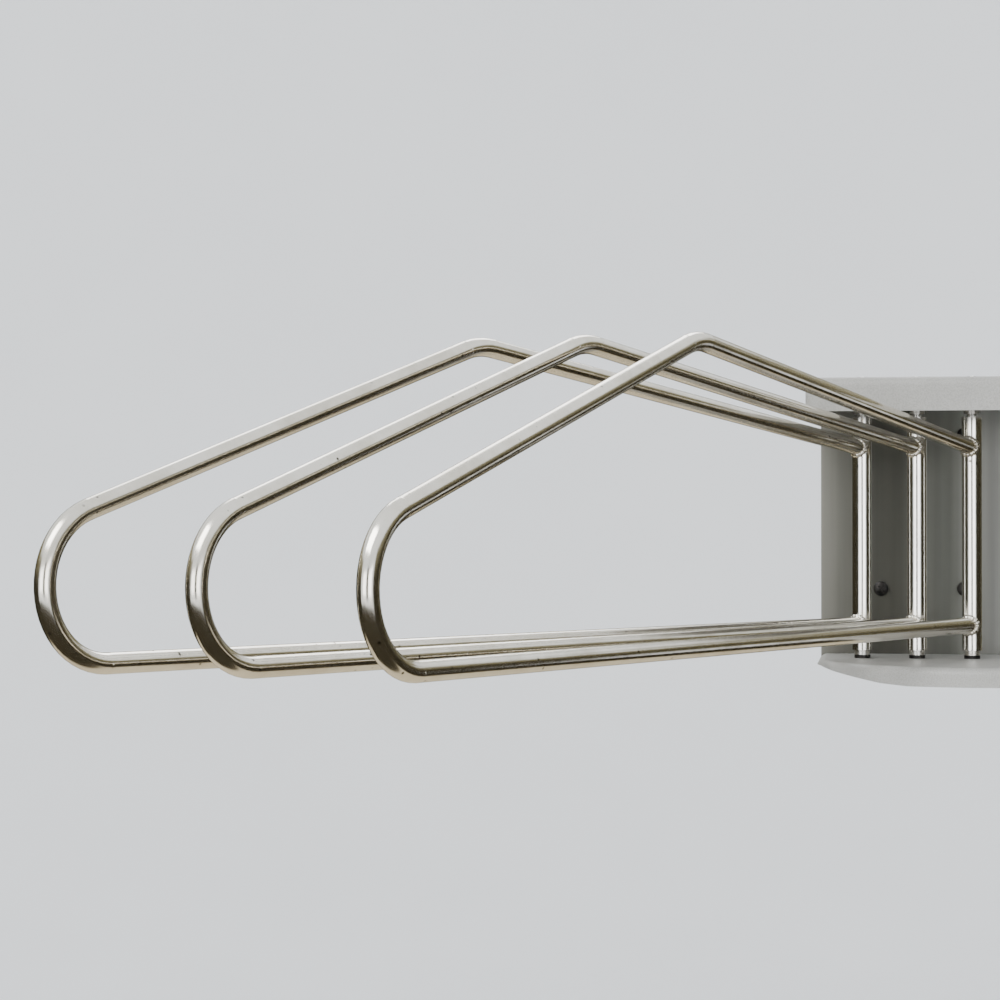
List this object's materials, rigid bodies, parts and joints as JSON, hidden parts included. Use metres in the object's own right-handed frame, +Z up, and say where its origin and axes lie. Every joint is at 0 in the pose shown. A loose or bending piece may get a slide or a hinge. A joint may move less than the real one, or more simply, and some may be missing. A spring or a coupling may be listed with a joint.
{
  "type": "swing-arm hanging rack",
  "caption": "Wall rack with flat bent-wire hanging arms that swing sideways on upright pivot rods held between the two shelves of a painted steel bracket.",
  "frame": {"origin": "centre of the four wall screws, on the wall face of the back plate", "axes": "+Y points into the wall, +Z up, +X to the right of someone facing the wall; the arms swing on the -Y side"},
  "size_m": [0.445, 0.6637, 0.1848],
  "materials": {
    "gray_paint_plate": "satin",
    "gray_paint_shelf": "satin",
    "nickel_plate": "bright nickel plate, lightly worn",
    "black_oxide": "black oxide",
    "bush_steel": "satin, oil-filled sintered steel",
    "spring_steel": "phosphate"
  },
  "bodies": {
    "bracket": {"back_plate": "gray_paint_plate", "top_shelf": "gray_paint_shelf", "bottom_shelf": "gray_paint_shelf", "wall_screws": "black_oxide", "lower_washer_1": "black_oxide", "lower_washer_2": "black_oxide", "lower_washer_3": "black_oxide", "lower_bush_1": "bush_steel", "lower_bush_2": "bush_steel", "lower_bush_3": "bush_steel", "upper_bush_1": "bush_steel", "upper_bush_2": "bush_steel", "upper_bush_3": "bush_steel"},
    "arm_1": {"arm_1_loop": "nickel_plate", "pivot_rod_1": "nickel_plate", "lower_clip_1": "spring_steel", "upper_clip_1": "spring_steel"},
    "arm_2": {"arm_2_loop": "nickel_plate", "pivot_rod_2": "nickel_plate", "lower_clip_2": "spring_steel", "upper_clip_2": "spring_steel"},
    "arm_3": {"arm_3_loop": "nickel_plate", "pivot_rod_3": "nickel_plate", "lower_clip_3": "spring_steel", "upper_clip_3": "spring_steel"}
  },
  "joints": [
    {"name": "arm_1_swing", "type": "hinge", "parent": "bracket", "child": "arm_1", "pos_m": [-0.0365, -0.0555, 0], "axis": [0, 0, 1], "range_deg": [-57.5, 2]},
    {"name": "arm_2_swing", "type": "hinge", "parent": "bracket", "child": "arm_2", "pos_m": [-0.004, -0.0555, 0], "axis": [0, 0, 1], "range_deg": [-3.5, 4]},
    {"name": "arm_3_swing", "type": "hinge", "parent": "bracket", "child": "arm_3", "pos_m": [0.0285, -0.0555, 0], "axis": [0, 0, 1], "range_deg": [-1.7, 113.9]}
  ]
}
